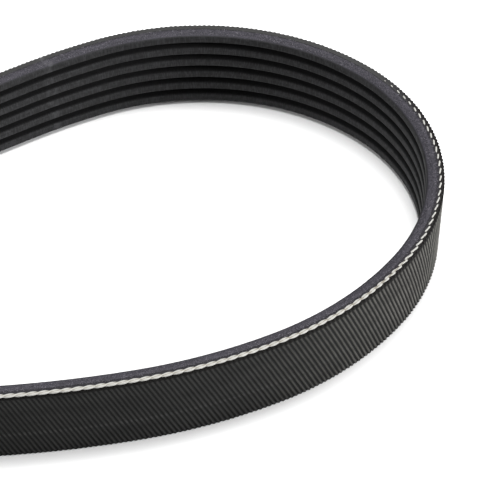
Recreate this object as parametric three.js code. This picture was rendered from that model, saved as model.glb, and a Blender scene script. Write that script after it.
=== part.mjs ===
// Six-rib serpentine belt, standing on its cut edge as an egg-shaped loop.
// Millimetres, +Z up. The origin is at the middle of the footprint, on the surface the belt stands on.
import * as THREE from "three";

// Ribs on the inside of the loop
const RIB_COUNT = 6;
const RIB_PITCH = 3.56;
const RIB_CREST_WIDTH = 1.75;
const GROOVE_ANGLE = 40; // between the two flanks of a groove, degrees
const GROOVE_ROOT_WIDTH = 0.2;

// The whole strap
const EDGE_TRIM = 0.28; // cut off each outer rib, beyond half a pitch from its middle
const BELT_WIDTH = RIB_COUNT * RIB_PITCH - 2 * EDGE_TRIM;
const BELT_THICKNESS = 4.4; // from the cover's ridges to the ribs' crests
const WALL_FLARE = 4.8; // the standing wall leans outwards, degrees

// Fabric-faced cover with its slanting moulded ridges
const COVER_THICKNESS = 0.38; // over the ridges
const RIDGE_PITCH = 1.18; // along the belt
const RIDGE_DEPTH = 0.14;
const RIDGE_SLANT = 24; // off square across the belt, degrees

// Tensile cord. It is wound as a helix, so the cut through the edge lays one turn of it bare, bit by bit.
const CORD_DIAMETER = 1.0;
const CORD_SPACING = 1.2; // from one turn to the next, across the belt
const CORD_STAND = 0.12; // the cut fibres spring out of the edge by this much
const CORD_LAND = 0.08; // rubber left between the cord and the cover
const CORD_FIRST_HEADING = 135; // where the cut first touches the cord, degrees along the loop
const CORD_LEAST_WIDTH = 0.16; // of the bared strip where it starts and ends

// The loop at the outer corner of its foot, seen from above and followed counter-clockwise. A straight
// front run is followed by a wide end, a straight back run and a small end; the two runs close it.
const FRONT_HEADING = -2.9;
const FRONT_EASING_RADIUS = 245; // where the front run begins to curve
const FRONT_SWEEP_RADIUS = 128;
const FRONT_SHOULDER_RADIUS = 78;
const NOSE_RADIUS = 54; // the wide end's tightest bend
const BACK_SHOULDER_RADIUS = 63;
const BACK_EASING_RADIUS = 150;
const WIDE_END = [
  { turn: 12, radius: FRONT_EASING_RADIUS },
  { turn: 16, radius: FRONT_SWEEP_RADIUS },
  { turn: 29, radius: FRONT_SHOULDER_RADIUS },
  { turn: 80, radius: NOSE_RADIUS },
  { turn: 66, radius: BACK_SHOULDER_RADIUS },
  { turn: 8, radius: BACK_EASING_RADIUS },
];
const SMALL_END_RADIUS = 30;
const SMALL_SHOULDER_RADIUS = 60; // on both sides of the small end's tight bend
const SMALL_END = [
  { turn: 25, radius: SMALL_SHOULDER_RADIUS },
  { turn: 99, radius: SMALL_END_RADIUS },
  { turn: 25, radius: SMALL_SHOULDER_RADIUS },
];
const BEND_STEP = 5.2; // most turn between neighbouring sections, degrees
const SECTION_SPACING = 17; // and most length

const radians = THREE.MathUtils.degToRad;
const lean = radians(WALL_FLARE);
const turnOf = (bends) => bends.reduce((sum, bend) => sum + radians(bend.turn), 0);

// A stretch of the loop has a length and a curvature, and starts at a point with a heading.
function pointAlong(stretch, distance) {
  const heading = stretch.heading + stretch.curvature * distance;
  const middle = (stretch.heading + heading) / 2;
  const half = (stretch.curvature * distance) / 2;
  const chord = half === 0 ? distance : (distance * Math.sin(half)) / half;
  return {
    x: stretch.x + chord * Math.cos(middle),
    y: stretch.y + chord * Math.sin(middle),
    heading,
  };
}

function layStretches(frontRun, backRun) {
  const bent = (bend) => ({ length: radians(bend.turn) * bend.radius, curvature: 1 / bend.radius });
  const shapes = [
    { length: frontRun, curvature: 0 },
    ...WIDE_END.map(bent),
    { length: backRun, curvature: 0 },
    ...SMALL_END.map(bent),
  ];
  const stretches = [];
  let end = { x: 0, y: 0, heading: radians(FRONT_HEADING) };
  let from = 0;
  for (const shape of shapes) {
    const stretch = { ...end, ...shape, from };
    stretches.push(stretch);
    end = pointAlong(stretch, stretch.length);
    from += stretch.length;
  }
  return { stretches, end, length: from };
}

// The two straight runs are as long as it takes to bring the loop back to its start.
function closedLoop() {
  const gap = layStretches(0, 0).end;
  const front = radians(FRONT_HEADING);
  const back = front + turnOf(WIDE_END);
  const across = Math.sin(back - front);
  const frontRun = (gap.y * Math.cos(back) - gap.x * Math.sin(back)) / across;
  const backRun = (gap.x * Math.sin(front) - gap.y * Math.cos(front)) / across;
  return layStretches(frontRun, backRun);
}

const loop = closedLoop();

function onLoop(distance) {
  const along = ((distance % loop.length) + loop.length) % loop.length;
  const stretch = loop.stretches.findLast((piece) => piece.from <= along);
  return pointAlong(stretch, along - stretch.from);
}

// A place in the belt: distance along the loop, depth in from the cover's ridges, height across the belt.
function inBelt(distance, depth, height) {
  const { x, y, heading } = onLoop(distance);
  const out = height * Math.sin(lean) - depth * Math.cos(lean);
  const up = height * Math.cos(lean) + depth * Math.sin(lean);
  return new THREE.Vector3(x + out * Math.sin(heading), y - out * Math.cos(heading), up);
}

// The foot is trimmed flat, so that the leaning wall rests on the whole of its lower edge.
const footHeight = (depth) => -depth * Math.tan(lean);

// Sections are closest in the tight bends.
function sectionDistances() {
  const distances = [];
  for (const stretch of loop.stretches) {
    const bendSteps = (stretch.length * stretch.curvature) / radians(BEND_STEP);
    const steps = Math.ceil(Math.max(bendSteps, stretch.length / SECTION_SPACING));
    for (let i = 0; i < steps; i += 1) {
      distances.push(stretch.from + (stretch.length * i) / steps);
    }
  }
  return distances;
}

const sections = sectionDistances();

// The cord is followed against the loop's direction, from where the cut first touches it.
const cordStart = sections.findLast((s) => onLoop(s).heading <= radians(CORD_FIRST_HEADING));
const cordRadius = CORD_DIAMETER / 2;
const cordDepth = COVER_THICKNESS + CORD_LAND + cordRadius;

// How far the cord has risen through the cut edge, from 0 to its diameter where it is bare.
function cordRise(distance) {
  const past = (cordStart - distance + loop.length) % loop.length;
  return (CORD_SPACING * past) / loop.length;
}

function cordSection(distance) {
  const rise = cordRise(distance);
  const bared = rise > 0 && rise < CORD_DIAMETER;
  const chord = bared ? Math.sqrt(rise * (CORD_DIAMETER - rise)) : 0;
  return {
    bared,
    half: Math.max(chord, CORD_LEAST_WIDTH / 2),
    buried: bared ? Math.min(CORD_DIAMETER - rise, 3 * rise) : 0,
    stand: bared ? (CORD_STAND * chord) / cordRadius : 0,
  };
}

// Four points across the cord's bed in the upper edge, from the ribs outwards.
function bedPoints(distance, rise) {
  const { half } = cordSection(distance);
  return [
    inBelt(distance, cordDepth + half, BELT_WIDTH),
    inBelt(distance, cordDepth + half / 2, BELT_WIDTH + rise),
    inBelt(distance, cordDepth - half / 2, BELT_WIDTH + rise),
    inBelt(distance, cordDepth - half, BELT_WIDTH),
  ];
}

// The ribbed side of one section, from the foot to the upper edge.
function ribPoints(distance) {
  const grooveWidth = RIB_PITCH - RIB_CREST_WIDTH;
  const flankSlope = Math.tan(radians(GROOVE_ANGLE / 2));
  const grooveDepth = (grooveWidth - GROOVE_ROOT_WIDTH) / 2 / flankSlope;
  const firstCrest = (BELT_WIDTH - RIB_PITCH * (RIB_COUNT - 1) - RIB_CREST_WIDTH) / 2;
  const edgeDepth = BELT_THICKNESS - firstCrest / flankSlope;
  const root = BELT_THICKNESS - grooveDepth;
  const points = [inBelt(distance, edgeDepth, footHeight(edgeDepth))];
  for (let rib = 0; rib < RIB_COUNT; rib += 1) {
    const low = firstCrest + rib * RIB_PITCH;
    const high = low + RIB_CREST_WIDTH;
    if (rib > 0) {
      const grooveMiddle = low - grooveWidth / 2;
      points.push(inBelt(distance, root, grooveMiddle - GROOVE_ROOT_WIDTH / 2));
      points.push(inBelt(distance, root, grooveMiddle + GROOVE_ROOT_WIDTH / 2));
    }
    points.push(inBelt(distance, BELT_THICKNESS, low));
    points.push(inBelt(distance, BELT_THICKNESS, high));
  }
  points.push(inBelt(distance, edgeDepth, BELT_WIDTH));
  return points;
}

const bondFoot = (distance) => inBelt(distance, COVER_THICKNESS, footHeight(COVER_THICKNESS));
const bondTop = (distance) => inBelt(distance, COVER_THICKNESS, BELT_WIDTH);

// Triangles are collected as loose corners.
function addQuad(corners, a, b, c, d) {
  corners.push(a, b, c, a, c, d);
}

function skinBetween(near, far) {
  const corners = [];
  for (let k = 0; k + 1 < near.length; k += 1) {
    addQuad(corners, near[k], near[k + 1], far[k + 1], far[k]);
  }
  return corners;
}

// The same triangles seen from their other side, for a piece that lies against this face.
const facing = (corners) => corners.reverse();

// Joins up what each section makes with the next one round the loop.
function aroundLoop(makeSkin) {
  return sections.flatMap((s, i) => makeSkin(s, sections[(i + 1) % sections.length]));
}

// Fills the rim between two closed lines of points, each sorted by its distance along the loop.
function rimBetween(outer, inner) {
  const corners = [];
  let i = 0;
  let k = 0;
  const at = (line, index) => line[index % line.length];
  const distanceOf = (line, index) => at(line, index).distance + (index >= line.length ? loop.length : 0);
  while (i < outer.length || k < inner.length) {
    const outerNext = i < outer.length ? distanceOf(outer, i + 1) : Infinity;
    const innerNext = k < inner.length ? distanceOf(inner, k + 1) : Infinity;
    if (outerNext <= innerNext) {
      corners.push(at(outer, i).point, at(outer, i + 1).point, at(inner, k).point);
      i += 1;
    } else {
      corners.push(at(outer, i).point, at(inner, k + 1).point, at(inner, k).point);
      k += 1;
    }
  }
  return corners;
}

const bondLine = (distance) => [bondTop(distance), bondFoot(distance)];
const bedLine = (distance) => bedPoints(distance, -cordSection(distance).buried);
const crownLine = (distance) => bedPoints(distance, cordSection(distance).stand);

function ribbedRubber() {
  const outline = (s) => [bondFoot(s), ...ribPoints(s), ...bedLine(s), ...bondLine(s)];
  return aroundLoop((s, next) => skinBetween(outline(s), outline(next)));
}

// One line of ridge and valley points, shifted along the belt by the ridges' slant.
function ridgeLine(heightAt, slantHeight) {
  const count = Math.round(loop.length / RIDGE_PITCH) * 2;
  const step = loop.length / count;
  const shift = (BELT_WIDTH / 2 - slantHeight) * Math.tan(radians(RIDGE_SLANT));
  const points = [];
  for (let i = 0; i < count; i += 1) {
    const depth = i % 2 === 0 ? 0 : RIDGE_DEPTH;
    const distance = i * step + shift;
    points.push({ distance, point: inBelt(distance, depth, heightAt(depth)) });
  }
  return points;
}

// A closed line of points starts at its first point past the start of the loop.
function fromStart(line) {
  const wrapped = line.map((entry) => ({
    distance: ((entry.distance % loop.length) + loop.length) % loop.length,
    point: entry.point,
  }));
  return wrapped.sort((a, b) => a.distance - b.distance);
}

function fabricBack() {
  const foot = ridgeLine(footHeight, 0);
  const middle = ridgeLine(() => BELT_WIDTH / 2, BELT_WIDTH / 2);
  const top = ridgeLine(() => BELT_WIDTH, BELT_WIDTH);
  const corners = [];
  for (const [lower, upper] of [[foot, middle], [middle, top]]) {
    lower.forEach((_, i) => {
      const k = (i + 1) % lower.length;
      addQuad(corners, lower[i].point, lower[k].point, upper[k].point, upper[i].point);
    });
  }
  const bond = (place) => sections.map((distance) => ({ distance, point: place(distance) }));
  corners.push(...facing(rimBetween(fromStart(foot), bond(bondFoot))));
  corners.push(...rimBetween(fromStart(top), bond(bondTop)));
  corners.push(...facing(aroundLoop((s, next) => skinBetween(bondLine(s), bondLine(next)))));
  return corners;
}

// The bared stretch of cord lies in its bed and ends as a thin sliver at both ends.
function edgeCord() {
  return aroundLoop((s, next) => {
    if (!cordSection(s).bared && !cordSection(next).bared) {
      return [];
    }
    const bed = facing(skinBetween(bedLine(s), bedLine(next)));
    return [...bed, ...skinBetween(crownLine(s), crownLine(next))];
  });
}

function solid(name, corners, material) {
  const geometry = new THREE.BufferGeometry().setFromPoints(corners);
  geometry.computeVertexNormals();
  const mesh = new THREE.Mesh(geometry, material);
  mesh.name = name;
  return mesh;
}

const belt = new THREE.Group();
belt.add(
  solid(
    "ribbed_rubber",
    ribbedRubber(),
    new THREE.MeshStandardMaterial({ color: 0x3d3c40, roughness: 0.82, metalness: 0 }),
  ),
  solid(
    "fabric_back",
    fabricBack(),
    new THREE.MeshStandardMaterial({ color: 0x2d2d2f, roughness: 0.74, metalness: 0 }),
  ),
  solid(
    "edge_cord",
    edgeCord(),
    new THREE.MeshStandardMaterial({ color: 0xdcd9cd, roughness: 0.9, metalness: 0 }),
  ),
);

// The footprint is centred under the upper, widest outline of the loop.
const outline = new THREE.Box3().setFromObject(belt);
const middle = outline.getCenter(new THREE.Vector3());
belt.children.forEach((mesh) => mesh.geometry.translate(-middle.x, -middle.y, 0));

export default belt;
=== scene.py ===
# %% [markdown]
# # A multi-rib belt standing on its cut edge
# The belt is one vulcanised strap: a rubber body with six ribs on the inside of the loop, a thin ply of
# rubberised fabric on the outside, and a twisted cord that the edge cut has laid bare along the top.
# The solids already give its true size. This lesson lays finer skins over them: each one is worked out from
# the same few sizes, as a place along the belt, a depth in from its back and a height across it.

# %% Load the solids that everything is built around
import math
from functools import partial

import bpy
import numpy as np
from mathutils import Matrix, Vector


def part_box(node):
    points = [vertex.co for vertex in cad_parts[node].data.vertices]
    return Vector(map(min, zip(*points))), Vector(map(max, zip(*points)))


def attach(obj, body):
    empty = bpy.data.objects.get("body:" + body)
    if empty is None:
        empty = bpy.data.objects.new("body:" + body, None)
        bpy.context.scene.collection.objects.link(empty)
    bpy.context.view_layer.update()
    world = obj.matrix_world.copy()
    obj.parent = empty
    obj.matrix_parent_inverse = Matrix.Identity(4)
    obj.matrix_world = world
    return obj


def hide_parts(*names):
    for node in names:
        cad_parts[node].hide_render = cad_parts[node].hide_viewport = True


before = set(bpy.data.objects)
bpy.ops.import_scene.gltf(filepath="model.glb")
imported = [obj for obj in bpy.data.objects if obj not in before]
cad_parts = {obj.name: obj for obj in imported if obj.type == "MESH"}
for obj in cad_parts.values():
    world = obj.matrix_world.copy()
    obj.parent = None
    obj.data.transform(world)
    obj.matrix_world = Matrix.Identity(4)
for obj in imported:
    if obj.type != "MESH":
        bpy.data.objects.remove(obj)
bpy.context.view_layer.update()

# %% [markdown]
# ## The sizes
# A rib's pitch, crest and angle are those of the pulley that it runs in, so they come first, and the belt's
# width follows from them. All lengths are in metres here, so a real millimetre is written as `mm`.

# %% Sizes of the belt
mm = 0.001
RIB_COUNT = 6
RIB_PITCH = 3.56 * mm
RIB_CREST = 1.75 * mm
GROOVE_HALF_ANGLE = math.radians(20)
GROOVE_ROOT = 0.2 * mm
EDGE_TRIM = 0.28 * mm
BELT_WIDTH = RIB_COUNT * RIB_PITCH - 2 * EDGE_TRIM
BELT_THICKNESS = 4.4 * mm
WALL_FLARE = math.radians(4.8)
COVER_THICKNESS = 0.38 * mm
RIDGE_PITCH = 1.18 * mm
RIDGE_DEPTH = 0.27 * mm
RIDGE_SLANT = math.radians(24)
CORD_RADIUS = 0.5 * mm
CORD_DEPTH = COVER_THICKNESS + 0.08 * mm + CORD_RADIUS
CORD_SPACING = 1.2 * mm
CORD_FIRST_HEADING = math.radians(135)
print("belt width", round(BELT_WIDTH / mm, 3), "mm")

# %% [markdown]
# ## The loop
# A free belt on a bench takes up an egg-shaped loop. It could be a drawn spline, but then its length would
# be whatever came out. Here it is a chain of arcs, each with a turn and a radius, and two straight runs whose
# lengths are solved so that the chain closes. The chain is the outer corner of the belt's foot.

# %% The loop as a chain of arcs
FRONT_HEADING = math.radians(-2.9)
WIDE_END = [(12, 245), (16, 128), (29, 78), (80, 54), (66, 63), (8, 150)]  # turn in degrees, radius in mm
SMALL_END = [(25, 60), (99, 30), (25, 60)]


def step_along(x, y, heading, curvature, distance):
    """The place and heading after a distance along an arc, or along a straight run of no curvature."""
    half = curvature * distance / 2
    chord = distance * (math.sin(half) / half if half else 1)
    return x + chord * math.cos(heading + half), y + chord * math.sin(heading + half), heading + 2 * half


def lay_stretches(front_run, back_run):
    """Each stretch as (from, x, y, heading, curvature), then the end of the last one."""
    arcs = [[(math.radians(turn) * radius * mm, 1 / (radius * mm)) for turn, radius in end]
            for end in (WIDE_END, SMALL_END)]
    place = (0.0, 0.0, FRONT_HEADING)
    covered = 0.0
    stretches = []
    for length, curvature in [(front_run, 0), *arcs[0], (back_run, 0), *arcs[1]]:
        stretches.append((covered, *place, curvature))
        place = step_along(*place, curvature, length)
        covered += length
    return stretches, place, covered


def close_loop():
    """The stretches with the two straight runs that bring the chain back to its start."""
    _, (gap_x, gap_y, _), _ = lay_stretches(0, 0)
    back = FRONT_HEADING + sum(math.radians(turn) for turn, _ in WIDE_END)
    across = math.sin(back - FRONT_HEADING)
    front_run = (gap_y * math.cos(back) - gap_x * math.sin(back)) / across
    back_run = (gap_x * math.sin(FRONT_HEADING) - gap_y * math.cos(FRONT_HEADING)) / across
    return lay_stretches(front_run, back_run)


stretches, _, LOOP_LENGTH = close_loop()


def on_loop(distance):
    """Place and heading of the foot's outer corner at a distance along the loop."""
    along = distance % LOOP_LENGTH
    start, x, y, heading, curvature = [s for s in stretches if s[0] <= along][-1]
    return step_along(x, y, heading, curvature, along - start)


print("loop length", round(LOOP_LENGTH / mm, 2), "mm")

# %% [markdown]
# The loop is turned into a plain ring of short edges, which every modifier below reads as its path. The
# solids have their origin in the middle of the footprint, so the ring is shifted until the belt's upper,
# widest outline is centred there too, and the print shows how well both agree.

# %% The path, centred like the solids
PATH_STEP = 0.5 * mm
path_count = round(LOOP_LENGTH / PATH_STEP)
ring = np.array([on_loop(LOOP_LENGTH * i / path_count) for i in range(path_count)])
reach = BELT_WIDTH * math.sin(WALL_FLARE)
rim_x = ring[:, 0] + reach * np.sin(ring[:, 2])
rim_y = ring[:, 1] - reach * np.cos(ring[:, 2])
shift = np.array([(rim_x.min() + rim_x.max()) / 2, (rim_y.min() + rim_y.max()) / 2])
path_points = [(x - shift[0], y - shift[1], 0.0) for x, y, _ in ring]
path_mesh = bpy.data.meshes.new("belt_path")
path_mesh.from_pydata(path_points, [(i, (i + 1) % path_count) for i in range(path_count)], [])
high_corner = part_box("fabric_back")[1]
print("outline differs from the solid's by",
      round((rim_x.max() - shift[0] - high_corner.x) / mm, 3),
      round((rim_y.max() - shift[1] - high_corner.y) / mm, 3), "mm")

# %% [markdown]
# ## Small helpers for node trees
# One function adds a node, sets it up and links or fills its inputs, for materials and modifiers alike. It
# hands back the node's outputs, so that trees read from the inside out, as a formula does. Bound to one tree
# it is called `add`. The kinds of node that are used most have short names.


# %% Helpers for node trees
MATH = "ShaderNodeMath"
VECTOR_MATH = "ShaderNodeVectorMath"
MAP_RANGE = "ShaderNodeMapRange"
MIX = "ShaderNodeMix"
STORE = "GeometryNodeStoreNamedAttribute"
KEPT = "GeometryNodeInputNamedAttribute"


def add_node(tree, kind, inputs=None, **settings):
    """Adds a node with its settings. Sockets among the inputs are linked, other values are filled in."""
    node = tree.nodes.new(kind)
    for name, value in settings.items():
        setattr(node, name, value)
    for key, value in (inputs or {}).items():
        if isinstance(value, bpy.types.NodeSocket):
            tree.links.new(value, node.inputs[key])
        else:
            node.inputs[key].default_value = value
    return node.outputs


def start_tree(name, takes, gives):
    """A geometry tree with named inputs and outputs, what adds to it, and the sockets it takes."""
    tree = bpy.data.node_groups.new(name, "GeometryNodeTree")
    for title, kind in takes.items():
        tree.interface.new_socket(title, in_out="INPUT", socket_type="NodeSocket" + kind)
    for title, kind in gives.items():
        tree.interface.new_socket(title, in_out="OUTPUT", socket_type="NodeSocket" + kind)
    add = partial(add_node, tree)
    return tree, add, add("NodeGroupInput")


def end_tree(add, geometry, material):
    """Ends a geometry tree as the export needs it, in real geometry that has its material."""
    whole = add("GeometryNodeRealizeInstances", {"Geometry": geometry})
    dressed = add("GeometryNodeSetMaterial", {"Geometry": whole[0], "Material": material})
    add("NodeGroupOutput", {"Mesh": dressed[0]})


def piece_from(name, mesh, tree, values):
    """Runs a tree on a mesh and keeps the result as a plain mesh object."""
    source = bpy.data.objects.new(name + "_source", mesh)
    bpy.context.scene.collection.objects.link(source)
    modifier = source.modifiers.new("make", "NODES")
    modifier.node_group = tree
    for socket in tree.interface.items_tree:
        if socket.in_out == "INPUT" and socket.name in values:
            modifier[socket.identifier] = values[socket.name]
    depsgraph = bpy.context.evaluated_depsgraph_get()
    made = bpy.data.meshes.new_from_object(
        source.evaluated_get(depsgraph), preserve_all_data_layers=True, depsgraph=depsgraph)
    bpy.data.objects.remove(source)
    made.name = name
    piece = bpy.data.objects.new(name, made)
    bpy.context.scene.collection.objects.link(piece)
    triangles = sum(len(face.vertices) - 2 for face in made.polygons)
    print(name, "has", triangles, "triangles")
    return piece


# %% [markdown]
# ## A place in the belt
# Every skin needs the same sum: a distance along the loop, a depth in from the belt's back and a height
# across it become a point in space. The wall leans outwards a little, as it does in the photograph, so depth
# and height are turned by that lean first. As a node group it is written once and used by all the trees.

# %% Node group: place in the belt
place_tree, add, take = start_tree(
    "place in belt",
    {"Path": "Geometry", "Along": "Float", "Depth": "Float", "Height": "Float", "Lean": "Float",
     "Loop Length": "Float"},
    {"Position": "Vector"})
wrapped = add(MATH, {0: take["Along"], 1: take["Loop Length"]}, operation="FLOORED_MODULO")
sample = add("GeometryNodeSampleCurve", {"Curves": take["Path"], "Length": wrapped[0]}, mode="LENGTH")
outward = add(VECTOR_MATH, {0: sample["Tangent"], 1: (0, 0, 1)}, operation="CROSS_PRODUCT")
outward = add(VECTOR_MATH, {0: outward[0]}, operation="NORMALIZE")
inward_depth = add(MATH, {0: take["Depth"], 1: -1.0}, operation="MULTIPLY")
upright = add("ShaderNodeCombineXYZ", {"X": inward_depth[0], "Z": take["Height"]})
leaning = add("ShaderNodeVectorRotate", {"Vector": upright[0], "Angle": take["Lean"]},
              rotation_type="Y_AXIS")
parts = add("ShaderNodeSeparateXYZ", {0: leaning[0]})
sideways = add(VECTOR_MATH, {0: outward[0], "Scale": parts["X"]}, operation="SCALE")
upwards = add("ShaderNodeCombineXYZ", {"Z": parts["Z"]})
moved = add(VECTOR_MATH, {0: sample["Position"], 1: sideways[0]}, operation="ADD")
moved = add(VECTOR_MATH, {0: moved[0], 1: upwards[0]}, operation="ADD")
add("NodeGroupOutput", {"Position": moved[0]})
print("place in belt:", len(place_tree.nodes), "nodes")

# %% [markdown]
# ## How far the cord is out
# The cord is wound inside the belt as a helix, so the straight cut through the edge meets it along one
# stretch of the loop only. In the middle of that stretch the knife has bevelled the corner outside the cord.
# The skins could each work out where that is, but one group does it for both: it turns a distance along the
# belt into a share, which is 0 at both ends of the stretch and 1 at its middle.

# %% Node group: share of the bared stretch
bared_length = LOOP_LENGTH * 2 * CORD_RADIUS / CORD_SPACING
first_bared = next(i for i in range(path_count) if ring[i][2] > CORD_FIRST_HEADING) * LOOP_LENGTH / path_count
bared_tree, add, take = start_tree(
    "share of the bared stretch",
    {"Along": "Float", "Start": "Float", "Bared Length": "Float", "Loop Length": "Float"}, {"Share": "Float"})
half_length = add(MATH, {0: take["Bared Length"], 1: 0.5}, operation="MULTIPLY")
middle = add(MATH, {0: take["Start"], 1: half_length[0]}, operation="ADD")
off = add(MATH, {0: take["Along"], 1: middle[0]}, operation="SUBTRACT")
half_loop = add(MATH, {0: take["Loop Length"], 1: 0.5}, operation="MULTIPLY")
minus_half = add(MATH, {0: take["Loop Length"], 1: -0.5}, operation="MULTIPLY")
off = add(MATH, {0: off[0], 1: half_loop[0], 2: minus_half[0]}, operation="WRAP")
off = add(MATH, {0: off[0]}, operation="ABSOLUTE")
off = add(MATH, {0: off[0], 1: half_length[0]}, operation="DIVIDE")
share = add(MATH, {0: 1.0, 1: off[0]}, operation="SUBTRACT", use_clamp=True)
add("NodeGroupOutput", {"Share": share[0]})
print("bared from", round((first_bared - bared_length) / mm), "to", round(first_bared / mm), "mm")

# %% [markdown]
# ## A skin swept round the loop
# The rubber and the fabric are both a section carried round the loop. Curve to Mesh would do that, but the
# fabric's ridges slant across the belt, so its rows have to slant too. A plain grid is laid instead: its rows
# are stations along the belt and its columns are the section's points.

# %% Modifier tree: skin of the belt, its grid
skin_tree, add, take = start_tree(
    "skin of the belt",
    {"Path": "Geometry", "Section": "Object", "Stations": "Int", "Loop Length": "Float", "Lean": "Float",
     "Slant": "Float", "Middle Height": "Float", "Ridges": "Int", "Ridge Depth": "Float",
     "Roughness": "Float", "Grain": "Float", "Start": "Float", "Bared Length": "Float",
     "Bevel Height": "Float", "Bevel Depth": "Float", "Edge Height": "Float", "Material": "Material"},
    {"Mesh": "Geometry"})
path = add("GeometryNodeMeshToCurve", {"Mesh": take["Path"]})
section = add("GeometryNodeObjectInfo", {"Object": take["Section"]})["Geometry"]
section_size = add("GeometryNodeAttributeDomainSize", {0: section})["Point Count"]
rows = add(MATH, {0: take["Stations"], 1: 1}, operation="ADD")
grid = add("GeometryNodeMeshGrid", {"Vertices X": rows[0], "Vertices Y": section_size})
index = add("GeometryNodeInputIndex")
row = add(MATH, {0: index[0], 1: section_size}, operation="DIVIDE")
row = add(MATH, {0: row[0]}, operation="FLOOR")
column = add(MATH, {0: index[0], 1: section_size}, operation="FLOORED_MODULO")
position = add("GeometryNodeInputPosition")
point = add("GeometryNodeSampleIndex", {"Geometry": section, "Value": position[0], "Index": column[0]},
            data_type="FLOAT_VECTOR")
point = add("ShaderNodeSeparateXYZ", {0: point[0]})
print("skin of the belt:", len(skin_tree.nodes), "nodes for its grid")

# %% [markdown]
# The group puts each point of the grid in its place. Slant shears the rows, the ridges are a cosine along
# them, and a limit on the height cuts the bevel. A section's third number says how much of the ridge or of
# the roughness a point takes.

# %% Modifier tree: skin of the belt, its shape
BEVEL_FROM, BEVEL_FULL = 0.45, 0.85  # shares of the bared stretch between which the bevel deepens
turns = add(MATH, {0: row[0], 1: take["Stations"]}, operation="DIVIDE")
below_middle = add(MATH, {0: take["Middle Height"], 1: point["Y"]}, operation="SUBTRACT")
slope = add(MATH, {0: take["Slant"]}, operation="TANGENT")
sheared = add(MATH, {0: below_middle[0], 1: slope[0]}, operation="MULTIPLY")
along = add(MATH, {0: turns[0], 1: take["Loop Length"], 2: sheared[0]}, operation="MULTIPLY_ADD")
phase = add(MATH, {0: turns[0], 1: take["Ridges"]}, operation="MULTIPLY")
phase = add(MATH, {0: phase[0], 1: math.tau}, operation="MULTIPLY")
wave = add(MATH, {0: phase[0]}, operation="COSINE")
valley = add(MAP_RANGE,
             {"Value": wave[0], "From Min": 1.0, "From Max": -1.0, "To Max": take["Ridge Depth"]})
depth = add(MATH, {0: valley[0], 1: point["Z"], 2: point["X"]}, operation="MULTIPLY_ADD")
bared = add("GeometryNodeGroup", {"Along": along[0], "Start": take["Start"],
                                  "Bared Length": take["Bared Length"], "Loop Length": take["Loop Length"]},
            node_tree=bared_tree)
bevel = add(MAP_RANGE, {"Value": bared[0], "From Min": BEVEL_FROM, "From Max": BEVEL_FULL,
                        "To Max": take["Bevel Height"]})
inwards = add(MATH, {0: depth[0], 1: take["Bevel Depth"]}, operation="DIVIDE")
outwards = add(MATH, {0: 1.0, 1: inwards[0]}, operation="SUBTRACT", use_clamp=True)
lowered = add(MATH, {0: bevel[0], 1: outwards[0]}, operation="MULTIPLY")
limit = add(MATH, {0: take["Edge Height"], 1: lowered[0]}, operation="SUBTRACT")
height = add(MATH, {0: point["Y"], 1: limit[0]}, operation="MINIMUM")
placed = add("GeometryNodeGroup", {"Path": path[0], "Along": along[0], "Depth": depth[0],
                                   "Height": height[0], "Lean": take["Lean"],
                                   "Loop Length": take["Loop Length"]}, node_tree=place_tree)
laid = add("GeometryNodeSetPosition", {"Geometry": grid["Mesh"], "Position": placed[0]})
print("skin of the belt:", len(skin_tree.nodes), "nodes with its shape")

# %% [markdown]
# The belt coordinates are kept for each corner of a face, so that the distance doesn't run backwards where
# the last row meets the first. Then noise roughens what a knife cut, and the rows that meet are welded.

# %% Modifier tree: skin of the belt, its coordinates and roughness
WELD_DISTANCE = 0.001 * mm
coordinates = add("ShaderNodeCombineXYZ", {"X": along[0], "Y": depth[0], "Z": point["Y"]})
coordinates = add("GeometryNodeFieldOnDomain", {0: coordinates[0]}, data_type="FLOAT_VECTOR",
                  domain="POINT")
laid = add(STORE, {"Geometry": laid[0], "Name": "belt", "Value": coordinates[0]}, data_type="FLOAT_VECTOR",
           domain="CORNER")
frequency = add(MATH, {0: 1.0, 1: take["Grain"]}, operation="DIVIDE")
noise = add("ShaderNodeTexNoise", {"Scale": frequency[0], "Detail": 2.0})["Color"]
noise = add(VECTOR_MATH, {0: noise, 1: (0.5, 0.5, 0.5)}, operation="SUBTRACT")
share = add(MATH, {0: point["Z"], 1: take["Roughness"]}, operation="MULTIPLY")
nudge = add(VECTOR_MATH, {0: noise[0], "Scale": share[0]}, operation="SCALE")
rough = add("GeometryNodeSetPosition", {"Geometry": laid[0], "Offset": nudge[0]})
closed = add("GeometryNodeMergeByDistance", {"Geometry": rough[0], "Distance": WELD_DISTANCE})
smooth = add("GeometryNodeSetShadeSmooth", {0: closed[0], "Shade Smooth": True})
end_tree(add, smooth[0], take["Material"])
print("skin of the belt:", len(skin_tree.nodes), "nodes")

# %% [markdown]
# ## Sections of the rubber and of the fabric
# On the real belt a grinding wheel cuts the ribs, so their flanks are straight and their arrises are barely
# rounded, and a knife cuts the edges. The section is written as that profile: a list of corners, of which
# the rib's are softened by three points on a curve. It could be drawn as a Bezier curve, but the pulley's
# profile is a rule, and a loop over the ribs keeps it one.

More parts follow.
